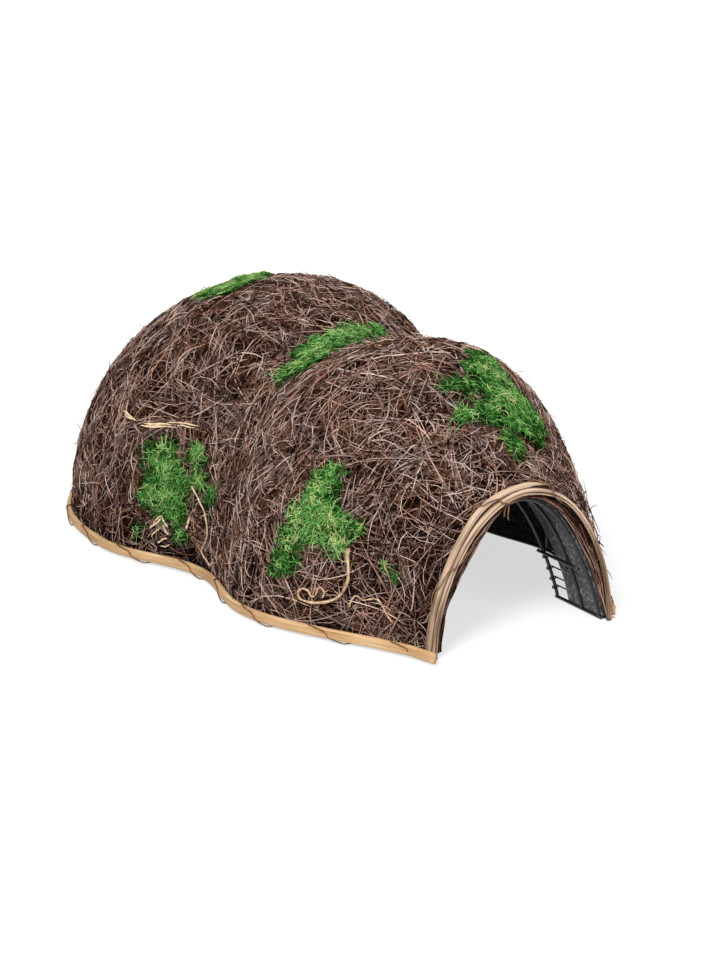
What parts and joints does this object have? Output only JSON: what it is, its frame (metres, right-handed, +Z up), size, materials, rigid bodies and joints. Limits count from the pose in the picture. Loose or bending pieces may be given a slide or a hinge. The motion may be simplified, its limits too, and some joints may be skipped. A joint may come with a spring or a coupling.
{
  "type": "hedgehog house",
  "caption": "Two-lobed brushwood dome on a black wire frame with felt lining, cane-edged arched entrance and short tunnel, moss patches and an open floor, a garden shelter for hedgehogs.",
  "frame": {"origin": "middle of the house on the floor", "axes": "+Z up, entrance facing -Y, +X to the right of someone looking in at the entrance"},
  "size_m": [0.3718, 0.5776, 0.2229],
  "materials": {
    "thatch": "rough dry heather and root twigs",
    "frame_wire": "black powder coat, satin",
    "felt": "charcoal needled felt",
    "felt_tie": "black cord",
    "cane": "split cane, dry and smooth",
    "lashing": "brown binding wire",
    "moss": "preserved curly moss",
    "root": "pale peeled root",
    "chip": "pale split wood"
  },
  "bodies": {
    "root": {"base_ring": "frame_wire", "front_hoop": "frame_wire", "waist_hoop": "frame_wire", "rear_hoop": "frame_wire", "back_hoop": "frame_wire", "ridge_wire": "frame_wire", "side_wire_left": "frame_wire", "side_wire_right": "frame_wire", "entrance_hoop": "frame_wire", "tunnel_mid_hoop": "frame_wire", "tunnel_rear_hoop": "frame_wire", "tunnel_base_left": "frame_wire", "tunnel_base_right": "frame_wire", "tunnel_stringer_left": "frame_wire", "tunnel_stringer_right": "frame_wire", "tunnel_lining": "felt", "front_lining": "felt", "rear_lining": "felt", "lining_ties": "felt_tie", "front_thatch": "thatch", "rear_thatch": "thatch", "rim_cane_left": "cane", "rim_cane_right": "cane", "arch_cane_outer": "cane", "arch_cane_inner": "cane", "arch_cane_edge": "cane", "rim_lashing_left": "lashing", "rim_lashing_right": "lashing", "arch_lashing": "lashing", "root_hook": "root", "root_tendril": "root", "pale_stem": "root", "wood_chips": "chip", "moss_rear_top": "moss", "moss_waist": "moss", "moss_front_top": "moss", "moss_rear_side": "moss", "moss_front_side": "moss", "moss_sprig": "moss", "moss_far_front": "moss", "moss_far_rear": "moss", "moss_back": "moss"}
  },
  "joints": []
}
